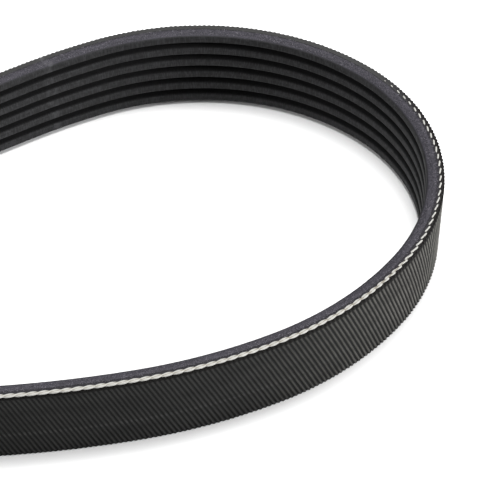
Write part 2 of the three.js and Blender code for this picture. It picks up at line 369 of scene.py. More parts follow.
# %% Section of the rubber
GROOVE_WIDTH = RIB_PITCH - RIB_CREST
GROOVE_DEPTH = (GROOVE_WIDTH - GROOVE_ROOT) / 2 / math.tan(GROOVE_HALF_ANGLE)
FIRST_CREST = (BELT_WIDTH - RIB_PITCH * (RIB_COUNT - 1) - RIB_CREST) / 2
EDGE_DEPTH = BELT_THICKNESS - FIRST_CREST / math.tan(GROOVE_HALF_ANGLE)
ARRIS_RADIUS = 0.22 * mm
ROOT_RADIUS = 0.16 * mm
EDGE_RADIUS = 0.08 * mm
FOOT_RADIUS = 0.05 * mm
CORNER_CLEARANCE = 2.2  # over 2, so that two softened corners leave a straight between them
CUT_STEP = 0.2 * mm
CUT_SHARE = 1.0  # how much of the roughness the cut, its arris, the ground crests and the roots take
EDGE_SHARE = 0.5
GROUND_SHARE = 0.22
ROOT_SHARE = 0.1


def foot_height(depth):
    """Height of the flat foot, which is trimmed level under the leaning wall."""
    return -depth * math.tan(WALL_FLARE)


def softened(before, corner, after, radius):
    """Three points that round a corner between its neighbours."""
    corner_at = Vector(corner[:2])
    start, end = [corner_at + (Vector(p[:2]) - corner_at).normalized() * radius for p in (before, after)]
    middle = (start + end) / 4 + corner_at / 2
    return [(p.x, p.y, corner[2]) for p in (start, middle, end)]


def rubber_section():
    """(depth, height, share) from the bond's foot up, over the cut edge and down the ribs."""
    root = BELT_THICKNESS - GROOVE_DEPTH
    corners = [((EDGE_DEPTH, BELT_WIDTH, EDGE_SHARE), EDGE_RADIUS)]
    for rib in reversed(range(RIB_COUNT)):
        low = FIRST_CREST + rib * RIB_PITCH
        corners.append(((BELT_THICKNESS, low + RIB_CREST, GROUND_SHARE), ARRIS_RADIUS))
        corners.append(((BELT_THICKNESS, low, GROUND_SHARE), ARRIS_RADIUS))
        if rib:
            middle = low - GROOVE_WIDTH / 2
            corners.append(((root, middle + GROOVE_ROOT / 2, ROOT_SHARE), ROOT_RADIUS))
            corners.append(((root, middle - GROOVE_ROOT / 2, ROOT_SHARE), ROOT_RADIUS))
    corners.append(((EDGE_DEPTH, foot_height(EDGE_DEPTH), 0.0), FOOT_RADIUS))
    cut_count = round((EDGE_DEPTH - COVER_THICKNESS) / CUT_STEP)
    cut = [(COVER_THICKNESS + (EDGE_DEPTH - COVER_THICKNESS) * i / cut_count, BELT_WIDTH, CUT_SHARE)
           for i in range(1, cut_count)]
    bond = [(COVER_THICKNESS, foot_height(COVER_THICKNESS), 0.0), (COVER_THICKNESS, BELT_WIDTH, 0.0)]
    points = bond + cut
    for i, (corner, radius) in enumerate(corners):
        before = corners[i - 1][0] if i else cut[-1]
        after = corners[i + 1][0] if i + 1 < len(corners) else bond[0]
        gap = min((Vector(corner[:2]) - Vector(p[:2])).length for p in (before, after))
        points += softened(before, corner, after, min(radius, gap / CORNER_CLEARANCE))
    return points + [bond[0]]


print("groove depth", round(GROOVE_DEPTH / mm, 2), "mm, section points", len(rubber_section()))

# %% [markdown]
# The fabric's section is a strip. Its outer side has points all the way up, because the ridges bend the rows,
# and its cut rims take most of the ridge, so that the ridges run out to the edges as they do on the real ply.

# %% Section of the fabric, and both as small meshes
COVER_ROWS = 20
COVER_EDGE = 0.07 * mm
RIM_DEPTH = 0.03 * mm
FOOT_LIFT = 0.05 * mm
RIM_SHARE = 0.9  # how much of the ridge the outer rims and the middle of the ply's edge take
RIM_MIDDLE_SHARE = 0.3


def cover_section():
    """(depth, height, share) up the ridged back, over the cut rim and down the bond to the foot."""
    lowest, highest = COVER_EDGE, BELT_WIDTH - COVER_EDGE
    back = [(0.0, lowest + (highest - lowest) * i / (COVER_ROWS - 1), 1.0) for i in range(COVER_ROWS)]
    rim = [(RIM_DEPTH, BELT_WIDTH, RIM_SHARE), (COVER_THICKNESS / 2, BELT_WIDTH, RIM_MIDDLE_SHARE)]
    bond = [(COVER_THICKNESS, BELT_WIDTH, 0.0), (COVER_THICKNESS, foot_height(COVER_THICKNESS), 0.0)]
    foot = [(RIM_DEPTH, foot_height(RIM_DEPTH) + FOOT_LIFT, RIM_SHARE)]
    return foot + back + rim + bond + foot


def section_object(name, points):
    """A section as a line of points that a tree can read. It isn't linked to the scene, so it never shows."""
    mesh = bpy.data.meshes.new(name)
    mesh.from_pydata(points, [(i, i + 1) for i in range(len(points) - 1)], [])
    return bpy.data.objects.new(name, mesh)


rubber_line = section_object("rubber_section", rubber_section())
cover_line = section_object("cover_section", cover_section())
print("section points:", len(rubber_line.data.vertices), "rubber,", len(cover_line.data.vertices), "cover")

# %% [markdown]
# ## Materials: shared helpers
# Colours are sRGB hex values, as a colour picker reads them, turned to linear by one function. Patterns that
# follow the belt read its own coordinates, which the skin stored: distance, depth and height in metres. A
# pattern's size is a real one in millimetres: its coordinates are multiplied by one over that size. Every
# material is then built in the same order, with noises first, masks from them, and tones laid one over
# another where a mask lets them through.


# %% Helpers for materials
def hex_colour(text):
    """Linear RGBA from an sRGB hex value."""
    values = [int(text[i:i + 2], 16) / 255 for i in (1, 3, 5)]
    return (*[v / 12.92 if v <= 0.04045 else ((v + 0.055) / 1.055) ** 2.4 for v in values], 1.0)


def repeats(*sizes):
    """How often a pattern of these sizes in millimetres repeats in a metre."""
    return tuple(1 / (size * mm) for size in sizes)


def start_material(name):
    """An empty material and the function that adds nodes to it."""
    material = bpy.data.materials.new(name)
    material.use_nodes = True
    material.node_tree.nodes.clear()
    return material, partial(add_node, material.node_tree)


print("sRGB #808080 is", round(hex_colour("#808080")[0], 3), "in linear light")

# %% [markdown]
# The cord comes to the surface along one stretch of the loop only, and the rubber and the fabric beside it
# are stained a very dark brown by its adhesive. The stain begins where the cord has come up to the cut and
# ends a little past its last dash. Both materials need it, so a small node group turns the distance along the
# belt into a factor: 1 beside the bared cord, 0 elsewhere.

# %% Node group: beside the bared cord
STAIN_MIDDLE = 33 * mm
STAIN_FULL, STAIN_GONE = 185 * mm, 213 * mm  # distances from its middle
stain_tree = bpy.data.node_groups.new("beside the bared cord", "ShaderNodeTree")
stain_tree.interface.new_socket("Along", in_out="INPUT", socket_type="NodeSocketFloat")
stain_tree.interface.new_socket("Factor", in_out="OUTPUT", socket_type="NodeSocketFloat")
add = partial(add_node, stain_tree)
take = add("NodeGroupInput")
off = add(MATH, {0: take["Along"], 1: STAIN_MIDDLE}, operation="SUBTRACT")
off = add(MATH, {0: off[0], 1: LOOP_LENGTH / 2, 2: -LOOP_LENGTH / 2}, operation="WRAP")
off = add(MATH, {0: off[0]}, operation="ABSOLUTE")
beside = add(MAP_RANGE, {"Value": off[0], "From Min": STAIN_GONE, "From Max": STAIN_FULL},
             interpolation_type="SMOOTHSTEP")
add("NodeGroupOutput", {"Factor": beside[0]})
print("stained within", round(STAIN_FULL / mm), "mm of", round(STAIN_MIDDLE / mm), "mm along the belt")

# %% [markdown]
# ## Rubber: ground ribs and a knife-cut edge
# The body is synthetic rubber filled with carbon black and chopped fibres. Grinding leaves the crests of the
# ribs dull dark grey with fine lines along the belt. The grooves are smooth and painted almost black, which
# is painted shade where the ribs keep the light out. The knife tears the fibres, so the edge is a lighter,
# faintly violet grey with a grain of about 0.3 mm. One material does it all: the height tells the edge from
# the ribs, and the depth tells a crest from its groove.

# %% Material: fibre-filled rubber, its noises
rubber, add = start_material("fibre_filled_rubber_ground_and_cut")
belt = add("ShaderNodeAttribute", attribute_name="belt")["Vector"]
sides = add("ShaderNodeSeparateXYZ", {0: belt})
surface = add("ShaderNodeTexCoord")["Object"]
stained = add("ShaderNodeGroup", {"Along": sides["X"]}, node_tree=stain_tree)[0]
noises = {}
for name, coordinates, sizes, detail in [
        ("grain", surface, (0.33, 0.33, 0.33), 3.0),
        ("flecks", surface, (0.2, 0.2, 0.2), 1.0),
        ("blotches", belt, (6, 1, 1), 2.0),
        ("grinding", belt, (5, 0.16, 0.16), 2.0),
        ("hatch", belt, (0.28, 1, 1.2), 2.0),
        ("scuff", belt, (1.4, 1.1, 2.2), 3.0)]:
    scaled = add(VECTOR_MATH, {0: coordinates, 1: repeats(*sizes)}, operation="MULTIPLY")
    noises[name] = add("ShaderNodeTexNoise", {"Vector": scaled[0], "Scale": 1.0, "Detail": detail})["Fac"]
print(rubber.name, "has the noises", list(noises))

# %% [markdown]
# The cut edge isn't one tone. Outside a faint broken line 1.8 mm in from the back, where two layers of rubber
# meet, it is a neutral grey, and much darker beside the bared cord. Painted shade darkens its inner rim,
# where the flank turns down away from the light.
# One small scuff crosses the edge and the ribs of the far strand: a pale patch 3 mm long, broken up by noise.
# Each mask is a smooth step between two values of a distance or of a noise.

# %% Material: fibre-filled rubber, its masks
LAYER_LINE = 1.8 * mm
SCUFF_AT = 331 * mm
CREST_REACH = BELT_WIDTH / 2 - FIRST_CREST
distances = {}
for name, side, place in [("middle", sides["Z"], BELT_WIDTH / 2), ("line", sides["Y"], LAYER_LINE),
                          ("scuff", sides["X"], SCUFF_AT)]:
    off = add(MATH, {0: side, 1: place}, operation="SUBTRACT")
    distances[name] = add(MATH, {0: off[0]}, operation="ABSOLUTE")[0]
masks = {}
for name, value, least_at, most_at, least, most in [
        ("cut", distances["middle"], CREST_REACH - 0.02 * mm, CREST_REACH + 0.05 * mm, 0.0, 1.0),
        ("crest", sides["Y"], BELT_THICKNESS - 0.8 * mm, BELT_THICKNESS - 0.04 * mm, 0.0, 1.0),
        ("grain", noises["grain"], 0.3, 0.7, 0.0, 1.0),
        ("blotches", noises["blotches"], 0.35, 0.75, 0.0, 0.5),
        ("flecks", noises["flecks"], 0.6, 0.72, 0.0, 0.6),
        ("outer layer", sides["Y"], LAYER_LINE + 0.25 * mm, LAYER_LINE - 0.1 * mm, 0.0, 0.85),
        ("line", distances["line"], 0.22 * mm, 0.06 * mm, 0.0, 1.0),
        ("unbroken", noises["blotches"], 0.35, 0.55, 0.45, 0.9),
        ("glue", sides["Y"], CORD_DEPTH + 0.45 * mm, CORD_DEPTH + 0.05 * mm, 0.0, 1.0),
        # painted shade: the flank just inside the inner rim
        ("inner rim", sides["Y"], BELT_THICKNESS - 0.55 * mm, BELT_THICKNESS - 0.2 * mm, 0.0, 0.9),
        ("grinding", noises["grinding"], 0.3, 0.7, 0.0, 1.0),
        ("hatch", noises["hatch"], 0.42, 0.66, 0.0, 0.45),
        ("scuff", distances["scuff"], 2.2 * mm, 0.4 * mm, 0.0, 1.0),
        ("patchy", noises["scuff"], 0.35, 0.7, 0.0, 0.5)]:
    masks[name] = add(MAP_RANGE, {"Value": value, "From Min": least_at, "From Max": most_at,
                                  "To Min": least, "To Max": most}, interpolation_type="SMOOTHSTEP")[0]
reached = add(MATH, {0: masks["cut"], 1: masks["crest"]}, operation="MAXIMUM")[0]
for name, limit in [("line", masks["unbroken"]), ("glue", stained), ("scuff", masks["patchy"]),
                    ("scuff", reached)]:
    masks[name] = add(MATH, {0: masks[name], 1: limit}, operation="MULTIPLY")[0]
print(rubber.name, "has", len(masks), "masks")

# %% [markdown]
# The tones of the cut edge are laid one over another: torn fibres first, then the outer layer, the line, the
# adhesive and the painted shade at the rim. The crests and the grooves of the ribs share a fine hatch across
# them, and the grooves' near-black tone is painted shade.

# %% Material: fibre-filled rubber, its tones
layer_tone = add(MIX, {0: stained, 6: hex_colour("#343433"), 7: hex_colour("#1f1d21")}, data_type="RGBA")[2]
cut_tone = hex_colour("#232226")
for name, tone in [("grain", hex_colour("#37353c")), ("blotches", hex_colour("#3e3c43")),
                   ("flecks", hex_colour("#67646b")), ("outer layer", layer_tone),
                   ("line", hex_colour("#161518")), ("glue", hex_colour("#0e0c0b")),
                   ("inner rim", hex_colour("#1d1d1f"))]:
    cut_tone = add(MIX, {0: masks[name], 6: cut_tone, 7: tone}, data_type="RGBA")[2]
crest_tone = hex_colour("#111112")
for name, tone in [("grinding", hex_colour("#1d1d1e")), ("hatch", hex_colour("#353537"))]:
    crest_tone = add(MIX, {0: masks[name], 6: crest_tone, 7: tone}, data_type="RGBA")[2]
# painted shade: the grooves are near black and the flanks grade up to the crest tone, standing in for the
# ribs' shadow
groove_painted_shade = add(MIX, {0: masks["hatch"], 6: hex_colour("#070708"), 7: hex_colour("#151516")},
                  data_type="RGBA")[2]
scuff_tone = add(MIX, {0: masks["cut"], 6: hex_colour("#3e3e40"), 7: hex_colour("#57565a")},
                 data_type="RGBA")[2]
colour = groove_painted_shade
for name, tone in [("crest", crest_tone), ("cut", cut_tone), ("scuff", scuff_tone)]:
    colour = add(MIX, {0: masks[name], 6: colour, 7: tone}, data_type="RGBA")[2]
print(rubber.name, "has", len(rubber.node_tree.nodes), "nodes with its tones")

# %% [markdown]
# Grain, grinding lines and hatch together become a little relief on a dull, barely reflecting rubber.

# %% Material: fibre-filled rubber, its shader
relief = noises["grain"]
for name in ("grinding", "hatch"):
    relief = add(MATH, {0: relief, 1: noises[name]}, operation="ADD")[0]
bump = add("ShaderNodeBump", {"Height": relief, "Strength": 0.6, "Distance": 0.05 * mm})[0]
shader = add("ShaderNodeBsdfPrincipled", {"Base Color": colour, "Roughness": 0.7, "IOR": 1.5,
                                          "Specular IOR Level": 0.2, "Normal": bump})[0]
add("ShaderNodeOutputMaterial", {"Surface": shader})
print(rubber.name, "has", len(rubber.node_tree.nodes), "nodes in all")

# %% [markdown]
# ## Fabric: rubberised weave on the back
# The back is a thin woven ply soaked in rubber and pressed against a ribbed mat, which leaves the slanting
# ridges. Their tops are a little paler than their valleys. Round the loop's wide end the tops are painted an
# olive grey, which is painted reflection of the floor, and the valleys black, which is painted shade. The
# weave shows through as a fine cross texture of about 0.5 mm. The ridges are real shape, and the threads are
# bump and a little colour, because they are too fine to be worth their triangles.

# %% Material: rubberised fabric, its patterns
THREAD = 0.52 * mm
THREAD_ANGLE = math.radians(32)
WAVE_PERIOD = math.tau / 20  # of Blender's wave texture at a scale of 1
fabric, add = start_material("rubberised_woven_fabric")
belt = add("ShaderNodeAttribute", attribute_name="belt")["Vector"]
surface = add("ShaderNodeTexCoord")["Object"]
sides = add("ShaderNodeSeparateXYZ", {0: belt})
stained = add("ShaderNodeGroup", {"Along": sides["X"]}, node_tree=stain_tree)[0]
flat = add("ShaderNodeCombineXYZ", {"X": sides["X"], "Y": sides["Z"]})[0]
turned = add("ShaderNodeVectorRotate", {"Vector": flat, "Angle": THREAD_ANGLE}, rotation_type="Z_AXIS")[0]
threads = [add("ShaderNodeTexWave", {"Vector": turned, "Scale": WAVE_PERIOD / THREAD, "Distortion": 0.6,
                                     "Detail": 1.0}, bands_direction=axis)["Fac"] for axis in "XY"]
weave = add(MATH, {0: threads[0], 1: threads[1]}, operation="MULTIPLY")[0]
noises = {}
for name, coordinates, sizes in [("fuzz", surface, (0.3, 0.3, 0.3)), ("patches", belt, (14, 1, 4))]:
    scaled = add(VECTOR_MATH, {0: coordinates, 1: repeats(*sizes)}, operation="MULTIPLY")
    noises[name] = add("ShaderNodeTexNoise", {"Vector": scaled[0], "Scale": 1.0, "Detail": 2.0})["Fac"]
print(fabric.name, "has", len(fabric.node_tree.nodes), "nodes for its patterns")

# %% [markdown]
# Round the loop's wide end the ridges' tops are painted palest and their valleys darkest, as painted
# reflection and painted shade. A faint pale line runs along the back about a third of the way up, where the
# ply was
# lapped: it only touches the ridges' tops, so it reads as dots. The ply's cut rim is just as dark as the
# rubber beside the bared cord, and takes the edge's grey elsewhere.

# %% Material: rubberised fabric, its masks
LAP_HEIGHT = 7.4 * mm
WIDE_END_MIDDLE = 205 * mm
distances = {}
for name, side, place in [("wide end", sides["X"], WIDE_END_MIDDLE), ("lap", sides["Z"], LAP_HEIGHT)]:
    off = add(MATH, {0: side, 1: place}, operation="SUBTRACT")
    distances[name] = add(MATH, {0: off[0]}, operation="ABSOLUTE")[0]
masks = {}
for name, value, least_at, most_at, most in [
        ("ridge", sides["Y"], RIDGE_DEPTH * 0.75, RIDGE_DEPTH * 0.1, 1.0),
        ("little worn", distances["wide end"], 0.0, 100 * mm, 1.0),
        ("weave", weave, 0.2, 0.8, 0.28),
        ("patches", noises["patches"], 0.35, 0.7, 0.35),
        ("lap", distances["lap"], 0.7 * mm, 0.15 * mm, 0.3),
        ("glue", sides["Z"], BELT_WIDTH - 1.3 * mm, BELT_WIDTH - 0.7 * mm, 1.0)]:
    masks[name] = add(MAP_RANGE, {"Value": value, "From Min": least_at, "From Max": most_at,
                                  "To Max": most}, interpolation_type="SMOOTHSTEP")[0]
for name, limit in [("lap", masks["ridge"]), ("glue", stained)]:
    masks[name] = add(MATH, {0: masks[name], 1: limit}, operation="MULTIPLY")[0]
masks["rim"] = add(MAP_RANGE, {"Value": sides["Z"], "From Min": BELT_WIDTH - 0.04 * mm,
                               "From Max": BELT_WIDTH - 0.01 * mm})[0]
print(fabric.name, "has", len(masks), "masks")

# %% [markdown]
# Three tones change along the belt: the ridges' tops and their valleys with the painted reflection and
# painted shade of the wide end, and the rim with the stain. The rest is laid over them, and the weave and a
# fuzz of fibre ends become relief.

# %% Material: rubberised fabric, its tones and the shader
changing = {}
# painted reflection on the ridges' tops (#5a5955) and painted shade in the valleys (#090909) near the wide
# end
for name, mask, tone, other in [("top", masks["little worn"], "#5a5955", "#272726"),
                                ("valley", masks["little worn"], "#090909", "#171717"),
                                ("rim", stained, "#3c3c3a", "#0b0a09")]:
    changing[name] = add(MIX, {0: mask, 6: hex_colour(tone), 7: hex_colour(other)}, data_type="RGBA")[2]
colour = changing["valley"]
for name, tone in [("ridge", changing["top"]), ("weave", hex_colour("#2d2d2c")),
                   ("patches", hex_colour("#101010")), ("lap", hex_colour("#434342")),
                   ("glue", hex_colour("#0d0c0b")), ("rim", changing["rim"])]:
    colour = add(MIX, {0: masks[name], 6: colour, 7: tone}, data_type="RGBA")[2]
relief = add(MATH, {0: weave, 1: noises["fuzz"]}, operation="ADD")[0]
bump = add("ShaderNodeBump", {"Height": relief, "Strength": 0.6, "Distance": 0.05 * mm})[0]
shader = add("ShaderNodeBsdfPrincipled", {"Base Color": colour, "Roughness": 0.8, "IOR": 1.5,
                                          "Specular IOR Level": 0.1, "Normal": bump})[0]
add("ShaderNodeOutputMaterial", {"Surface": shader})
print(fabric.name, "has", len(fabric.node_tree.nodes), "nodes")

# %% [markdown]
# ## Cord: twisted polyester
# The tensile cord is polyester yarn, twisted in two plies and dipped in a brownish adhesive. Where the knife
# has bared it, the filaments show off-white. The material runs thin streaks along each ply and is darker and
# browner along the seam between the plies.

# %% Material: polyester cord
polyester, add = start_material("twisted_polyester_cord")
ply = add("ShaderNodeAttribute", attribute_name="ply")["Vector"]
from_seam = add("ShaderNodeAttribute", attribute_name="from seam")["Fac"]
scaled = add(VECTOR_MATH, {0: ply, 1: repeats(0.06, 0.06, 1.2)}, operation="MULTIPLY")
streaks = add("ShaderNodeTexNoise", {"Vector": scaled[0], "Scale": 1.0, "Detail": 2.0})["Fac"]
streaked = add(MAP_RANGE, {"Value": streaks, "From Min": 0.3, "From Max": 0.7},
               interpolation_type="SMOOTHSTEP")[0]
yarn = add(MIX, {0: streaked, 6: hex_colour("#959490"), 7: hex_colour("#b1b0ab")}, data_type="RGBA")[2]
# darker, browner tone along the seam between the plies
off_seam = add(MAP_RANGE, {"Value": from_seam, "From Max": 0.09 * mm}, interpolation_type="SMOOTHSTEP")[0]
yarn = add(MIX, {0: off_seam, 6: hex_colour("#7f7a70"), 7: yarn}, data_type="RGBA")[2]
bump = add("ShaderNodeBump", {"Height": streaks, "Strength": 0.5, "Distance": 0.03 * mm})[0]
shader = add("ShaderNodeBsdfPrincipled", {"Base Color": yarn, "Roughness": 0.7, "IOR": 1.5,
                                          "Specular IOR Level": 0.3, "Normal": bump})[0]
add("ShaderNodeOutputMaterial", {"Surface": shader})
print(polyester.name, "has", len(polyester.node_tree.nodes), "nodes")

# %% [markdown]
# ## The rubber body and the fabric back
# Both skins come from the one tree. The rubber has no ridges but a rough cut edge. The fabric's stations
# are a whole number for each ridge, so that every ridge has the same shape and the last meets the first.

# %% Make the two skins
RUBBER_STATION = 0.6 * mm
POINTS_PER_RIDGE = 7
ridge_count = round(LOOP_LENGTH / RIDGE_PITCH)
shared = {"Loop Length": LOOP_LENGTH, "Lean": WALL_FLARE, "Middle Height": BELT_WIDTH / 2,
          "Start": first_bared - bared_length, "Bared Length": bared_length, "Bevel Height": 0.72 * mm,
          "Bevel Depth": 1.0 * mm, "Edge Height": BELT_WIDTH}
body = piece_from("rubber_body", path_mesh, skin_tree, {
    **shared, "Section": rubber_line, "Stations": round(LOOP_LENGTH / RUBBER_STATION), "Slant": 0.0,
    "Ridges": 1, "Ridge Depth": 0.0, "Roughness": 0.3 * mm, "Grain": 0.45 * mm, "Material": rubber})
back = piece_from("ridged_fabric_back", path_mesh, skin_tree, {
    **shared, "Section": cover_line, "Stations": ridge_count * POINTS_PER_RIDGE, "Slant": RIDGE_SLANT,
    "Ridges": ridge_count, "Ridge Depth": RIDGE_DEPTH, "Roughness": 0.16 * mm, "Grain": 1.6 * mm,
    "Material": fabric})
print("ridges:", ridge_count)

# %% [markdown]
# ## The bared cord
# The cord is wound inside the belt as a helix of 1.2 mm spacing, so it climbs slowly past the cut through the
# edge. While its middle is under the cut or level with it, the twist is whole and its outer side shows. Once
# it is higher, the knife has sliced the top off, and only the lowest bits of the plies remain, as dashes that
# slant the other way. They are thinner and straighter, because cut yarn draws back into the rubber. The
# dashes could be drawn one by one, but then the twist wouldn't turn into them. So the tree first follows the
# cord's middle from under the cut, along it and out of the belt.

# %% Modifier tree: plies of the bared cord, their middle line
EARLY_POWER = 4.0  # the cord comes out of the rubber early in the stretch
SLICED_FROM, SLICED_TO = 0.77, 0.88  # shares of the stretch between which the knife goes into it
LATE_POWER = 26.0  # and a short rise out of the belt ends it
DEEPER_FROM = 0.5  # share of the stretch from which it lies deeper in from the back
cord_tree, add, take = start_tree(
    "plies of the bared cord",
    {"Path": "Geometry", "Start": "Float", "Bared Length": "Float", "Loop Length": "Float", "Lean": "Float",
     "Cord Radius": "Float", "Ply Radius": "Float", "Last Ply Radius": "Float", "Last Sway": "Float",
     "Lay": "Float", "First Height": "Float", "Steady Height": "Float", "Sliced Height": "Float",
     "Last Rise": "Float", "First Depth": "Float", "Last Depth": "Float", "Edge Height": "Float",
     "Stand": "Float", "Stations": "Int", "Material": "Material"},
    {"Mesh": "Geometry"})
path = add("GeometryNodeMeshToCurve", {"Mesh": take["Path"]})
line = add("GeometryNodeCurvePrimitiveLine")
line = add("GeometryNodeResampleCurve", {"Curve": line[0], "Count": take["Stations"]})
factor = add("GeometryNodeSplineParameter")["Factor"]
along = add(MATH, {0: factor, 1: take["Bared Length"], 2: take["Start"]}, operation="MULTIPLY_ADD")[0]
to_go = add(MATH, {0: 1.0, 1: factor}, operation="SUBTRACT")
to_go = add(MATH, {0: to_go[0], 1: EARLY_POWER}, operation="POWER")
climb = add(MATH, {0: take["First Height"], 1: take["Steady Height"]}, operation="SUBTRACT")
climbed = add(MATH, {0: to_go[0], 1: climb[0], 2: take["Steady Height"]}, operation="MULTIPLY_ADD")
sliced = add(MAP_RANGE, {"Value": factor, "From Min": SLICED_FROM, "From Max": SLICED_TO},
             interpolation_type="SMOOTHSTEP")[0]
rise = add(MATH, {0: take["Sliced Height"], 1: take["Steady Height"]}, operation="SUBTRACT")
climbed = add(MATH, {0: sliced, 1: rise[0], 2: climbed[0]}, operation="MULTIPLY_ADD")
leaving = add(MATH, {0: factor, 1: LATE_POWER}, operation="POWER")
climbed = add(MATH, {0: leaving[0], 1: take["Last Rise"], 2: climbed[0]}, operation="MULTIPLY_ADD")
middle_height = add(MATH, {0: take["Edge Height"], 1: climbed[0]}, operation="ADD")[0]
middle_depth = add(MAP_RANGE, {"Value": factor, "From Min": DEEPER_FROM, "To Min": take["First Depth"],
                               "To Max": take["Last Depth"]})[0]
in_belt = {"Path": path[0], "Along": along, "Lean": take["Lean"], "Loop Length": take["Loop Length"]}
middle_line = add("GeometryNodeGroup", {**in_belt, "Depth": middle_depth, "Height": middle_height},
                  node_tree=place_tree)[0]
cut_place = add("GeometryNodeGroup", {**in_belt, "Depth": middle_depth, "Height": take["Edge Height"]},
                node_tree=place_tree)
cut_level = add("ShaderNodeSeparateXYZ", {0: cut_place[0]})["Z"]
print("plies of the bared cord:", len(cord_tree.nodes), "nodes for the middle line")

# %% [markdown]
# Each ply winds round that line and has a round profile. Towards the sliced end the plies get thinner and
# sway less. The profile's own coordinates are kept, because the yarn's streaks follow them.

# %% Modifier tree: plies of the bared cord, their twist and profile
PLY_COUNT = 2
PLY_SIDES = 12
ply_radius = add(MAP_RANGE,
                 {"Value": sliced, "To Min": take["Ply Radius"], "To Max": take["Last Ply Radius"]})[0]
winding = add(MATH, {0: take["Cord Radius"], 1: ply_radius}, operation="SUBTRACT")[0]
sway = add(MAP_RANGE, {"Value": sliced, "To Min": 1.0, "To Max": take["Last Sway"]})
sway = add(MATH, {0: winding, 1: sway[0]}, operation="MULTIPLY")[0]
twist = add(MATH, {0: along, 1: take["Lay"]}, operation="DIVIDE")
profile = add("GeometryNodeCurvePrimitiveCircle", {"Resolution": PLY_SIDES, "Radius": take["Ply Radius"]})
around = add("GeometryNodeInputPosition")
profile = add(STORE, {"Geometry": profile[0], "Name": "around", "Value": around[0]},
              data_type="FLOAT_VECTOR", domain="POINT")
print("plies of the bared cord:", len(cord_tree.nodes), "nodes with the twist")

# %% [markdown]
# A ply whose middle is above the cut is brought down to it and given the width that a slice through it has
# there, so the change along the belt comes by itself. Half that width, squared, is the ply's radius squared
# less the cut's distance from its middle, squared. The middles of the ply and of its neighbour are kept as
# attributes: a point as near to one as to the other lies in the seam between them, where the material is
# darker. All of it is stored while the line is still straight, because its factor would shift as soon as the
# line is bent round the loop.

# %% Modifier tree: plies of the bared cord, sliced by the knife
LEAST_SQUARE = 0.0004  # a ply that is wholly cut away keeps a fiftieth of its width, and so stays closed
plies = []
for number in range(PLY_COUNT):
    angle = add(MATH, {0: twist[0], 1: -math.tau, 2: math.tau * number / PLY_COUNT},
                operation="MULTIPLY_ADD")
    across = add(MATH, {0: angle[0]}, operation="COSINE")
    over = add(MATH, {0: angle[0]}, operation="SINE")
    depth = add(MATH, {0: across[0], 1: sway, 2: middle_depth}, operation="MULTIPLY_ADD")
    height = add(MATH, {0: over[0], 1: winding, 2: middle_height}, operation="MULTIPLY_ADD")
    own = add("GeometryNodeGroup", {**in_belt, "Depth": depth[0], "Height": height[0]},
              node_tree=place_tree)[0]
    to_middle = add(VECTOR_MATH, {0: middle_line, 1: own}, operation="SUBTRACT")
    other = add(VECTOR_MATH, {0: middle_line, 1: to_middle[0]}, operation="ADD")
    above = add(MATH, {0: height[0], 1: take["Edge Height"]}, operation="SUBTRACT")
    above = add(MATH, {0: above[0], 1: 0.0}, operation="MAXIMUM")
    slice_ratio = add(MATH, {0: above[0], 1: ply_radius}, operation="DIVIDE")
    square = add(MATH, {0: slice_ratio[0], 1: slice_ratio[0]}, operation="MULTIPLY")
    left_over = add(MATH, {0: 1.0, 1: square[0]}, operation="SUBTRACT")
    left_over = add(MATH, {0: left_over[0], 1: LEAST_SQUARE}, operation="MAXIMUM")
    width_share = add(MATH, {0: left_over[0]}, operation="SQRT")[0]
    sinking = add(MATH, {0: 1.0, 1: width_share}, operation="SUBTRACT")
    sinking = add(MATH, {0: sinking[0], 1: take["Stand"]}, operation="MULTIPLY")
    lowered = add(MATH, {0: above[0], 1: sinking[0]}, operation="ADD")
    height = add(MATH, {0: height[0], 1: lowered[0]}, operation="SUBTRACT")
    placed = add("GeometryNodeGroup", {**in_belt, "Depth": depth[0], "Height": height[0]},
                 node_tree=place_tree)
    thinning = add(MATH, {0: ply_radius, 1: take["Ply Radius"]}, operation="DIVIDE")
    width = add(MATH, {0: width_share, 1: thinning[0]}, operation="MULTIPLY")[0]
    straight = line
    for name, value, kind in [("length", along, "FLOAT"), ("cut level", cut_level, "FLOAT"),
                              ("width", width, "FLOAT"), ("own", own, "FLOAT_VECTOR"),
                              ("other", other[0], "FLOAT_VECTOR"), ("wound", placed[0], "FLOAT_VECTOR")]:
        straight = add(STORE, {"Geometry": straight[0], "Name": name, "Value": value}, data_type=kind,
                       domain="POINT")
    wound_place = add(KEPT, {"Name": "wound"}, data_type="FLOAT_VECTOR")
    wound = add("GeometryNodeSetPosition", {"Geometry": straight[0], "Position": wound_place[0]})
    kept_width = add(KEPT, {"Name": "width"})
    ply = add("GeometryNodeCurveToMesh",
              {"Curve": wound[0], "Profile Curve": profile[0], "Scale": kept_width[0], "Fill Caps": True})
    plies.append(ply[0])
joined = cord_tree.nodes.new("GeometryNodeJoinGeometry")  # its one socket takes a link from every ply
for ply in plies:
    cord_tree.links.new(ply, joined.inputs[0])
print("plies of the bared cord:", len(cord_tree.nodes), "nodes for their paths")

# %% [markdown]
# The sliced yarn swells a little over the rubber, so what stands over the cut isn't quite flat: the height
# over it is eased towards a limit.

